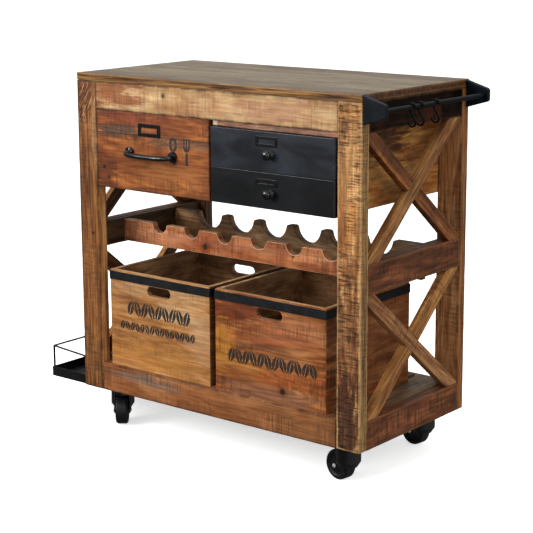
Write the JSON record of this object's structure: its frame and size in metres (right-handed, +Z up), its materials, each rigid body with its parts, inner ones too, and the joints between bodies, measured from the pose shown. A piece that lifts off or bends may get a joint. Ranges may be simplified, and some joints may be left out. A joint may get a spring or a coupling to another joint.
{
  "type": "bar cart on wheels",
  "caption": "Wooden bar cart with X-braced ends, drawers, wine rack, pull-out crates, a side tray, a towel bar with hooks, and swivel castors.",
  "frame": {"origin": "on the floor, under the middle of the outer box", "axes": "+X to the right of the cart, the end with the towel bar; +Y to the rear, so drawers and crates pull out along -Y; +Z up"},
  "size_m": [1.0952, 0.4862, 0.937],
  "materials": {
    "worktop_wood": "waxed, greyish brown, fine brushed grain",
    "post_wood": "waxed reclaimed wood with band-saw marks",
    "apron_wood": "waxed light wood with upright saw marks",
    "frame_wood": "waxed brown wood with saw marks",
    "orange_wood": "waxed orange-brown wood",
    "inner_wood": "dark brown wood",
    "crate_wood": "waxed golden wood with wide grain",
    "drawer_steel": "satin blue-black lacquer",
    "black_iron": "black lacquer",
    "castor_steel": "gloss black lacquer",
    "wheel_rubber": "satin black"
  },
  "bodies": {
    "cart": {"worktop": "worktop_wood", "post_front_left": "post_wood", "post_front_right": "post_wood", "post_rear_left": "post_wood", "post_rear_right": "post_wood", "apron_front": "apron_wood", "apron_rear": "apron_wood", "apron_left": "frame_wood", "apron_right": "frame_wood", "mid_rail_left": "frame_wood", "mid_rail_right": "frame_wood", "bottom_rail_left": "frame_wood", "bottom_rail_right": "frame_wood", "bottom_rail_front": "orange_wood", "bottom_rail_rear": "orange_wood", "brace_left_upper_rising": "frame_wood", "brace_left_upper_falling": "frame_wood", "brace_left_lower_rising": "frame_wood", "brace_left_lower_falling": "frame_wood", "brace_right_upper_rising": "frame_wood", "brace_right_upper_falling": "frame_wood", "brace_right_lower_rising": "frame_wood", "brace_right_lower_falling": "frame_wood", "case_side_left": "inner_wood", "case_side_right": "inner_wood", "case_divider": "inner_wood", "case_back": "inner_wood", "rack_side_left": "inner_wood", "rack_side_right": "inner_wood", "rack_rear": "inner_wood", "shelf": "inner_wood", "case_header": "frame_wood", "rack_front": "orange_wood", "bar_bracket_front": "black_iron", "bar_bracket_rear": "black_iron", "towel_bar": "black_iron", "tray_pan": "black_iron", "tray_rail": "black_iron"},
    "wood_drawer": {"wood_drawer_front": "orange_wood", "wood_drawer_box": "inner_wood", "wood_drawer_handle": "black_iron"},
    "steel_drawer_upper": {"steel_drawer_upper": "drawer_steel", "steel_drawer_upper_knob": "black_iron"},
    "steel_drawer_lower": {"steel_drawer_lower": "drawer_steel", "steel_drawer_lower_knob": "black_iron"},
    "crate_left": {"crate_left": "crate_wood", "crate_left_band": "black_iron"},
    "crate_right": {"crate_right": "crate_wood", "crate_right_band": "black_iron"},
    "s_hook_1": {"s_hook_1": "black_iron"},
    "s_hook_2": {"s_hook_2": "black_iron"},
    "s_hook_3": {"s_hook_3": "black_iron"},
    "castor_fork_front_left": {"castor_fork_front_left": "castor_steel"},
    "castor_wheel_front_left": {"castor_wheel_front_left": "wheel_rubber"},
    "castor_fork_front_right": {"castor_fork_front_right": "castor_steel"},
    "castor_wheel_front_right": {"castor_wheel_front_right": "wheel_rubber"},
    "castor_fork_rear_left": {"castor_fork_rear_left": "castor_steel"},
    "castor_wheel_rear_left": {"castor_wheel_rear_left": "wheel_rubber"},
    "castor_fork_rear_right": {"castor_fork_rear_right": "castor_steel"},
    "castor_wheel_rear_right": {"castor_wheel_rear_right": "wheel_rubber"}
  },
  "joints": [
    {"name": "wood_drawer_slide", "type": "slide", "parent": "cart", "child": "wood_drawer", "axis": [0, -1, 0], "range_m": [0, 0.3]},
    {"name": "steel_drawer_upper_slide", "type": "slide", "parent": "cart", "child": "steel_drawer_upper", "axis": [0, -1, 0], "range_m": [0, 0.3]},
    {"name": "steel_drawer_lower_slide", "type": "slide", "parent": "cart", "child": "steel_drawer_lower", "axis": [0, -1, 0], "range_m": [0, 0.3]},
    {"name": "crate_left_slide", "type": "slide", "parent": "cart", "child": "crate_left", "axis": [0, -1, 0], "range_m": [0, 0.36]},
    {"name": "crate_right_slide", "type": "slide", "parent": "cart", "child": "crate_right", "axis": [0, -1, 0], "range_m": [0, 0.36]},
    {"name": "s_hook_1_swing", "type": "hinge", "parent": "cart", "child": "s_hook_1", "pos_m": [0.5355, -0.08094, 0.901], "axis": [0, 1, 0], "range_deg": [-80, 30]},
    {"name": "s_hook_2_swing", "type": "hinge", "parent": "cart", "child": "s_hook_2", "pos_m": [0.5355, -0.04794, 0.901], "axis": [0, 1, 0], "range_deg": [-80, 30]},
    {"name": "s_hook_3_swing", "type": "hinge", "parent": "cart", "child": "s_hook_3", "pos_m": [0.5355, 0.01606, 0.901], "axis": [0, 1, 0], "range_deg": [-80, 30]},
    {"name": "castor_front_left_swivel", "type": "hinge", "parent": "cart", "child": "castor_fork_front_left", "pos_m": [-0.3375, -0.14394, 0.08], "axis": [0, 0, 1], "continuous": true},
    {"name": "castor_front_left_roll", "type": "hinge", "parent": "castor_fork_front_left", "child": "castor_wheel_front_left", "pos_m": [-0.32177, -0.16337, 0.0375], "axis": [0.7771, 0.6293, 0], "continuous": true},
    {"name": "castor_front_right_swivel", "type": "hinge", "parent": "cart", "child": "castor_fork_front_right", "pos_m": [0.4085, -0.14394, 0.08], "axis": [0, 0, 1], "continuous": true},
    {"name": "castor_front_right_roll", "type": "hinge", "parent": "castor_fork_front_right", "child": "castor_wheel_front_right", "pos_m": [0.38381, -0.14003, 0.0375], "axis": [-0.1564, -0.9877, 0], "continuous": true},
    {"name": "castor_rear_left_swivel", "type": "hinge", "parent": "cart", "child": "castor_fork_rear_left", "pos_m": [-0.3375, 0.18006, 0.08], "axis": [0, 0, 1], "continuous": true},
    {"name": "castor_rear_left_roll", "type": "hinge", "parent": "castor_fork_rear_left", "child": "castor_wheel_rear_left", "pos_m": [-0.35, 0.15841, 0.0375], "axis": [0.866, -0.5, 0], "continuous": true},
    {"name": "castor_rear_right_swivel", "type": "hinge", "parent": "cart", "child": "castor_fork_rear_right", "pos_m": [0.4085, 0.18006, 0.08], "axis": [0, 0, 1], "continuous": true},
    {"name": "castor_rear_right_roll", "type": "hinge", "parent": "castor_fork_rear_right", "child": "castor_wheel_rear_right", "pos_m": [0.38381, 0.18397, 0.0375], "axis": [-0.1564, -0.9877, 0], "continuous": true}
  ]
}
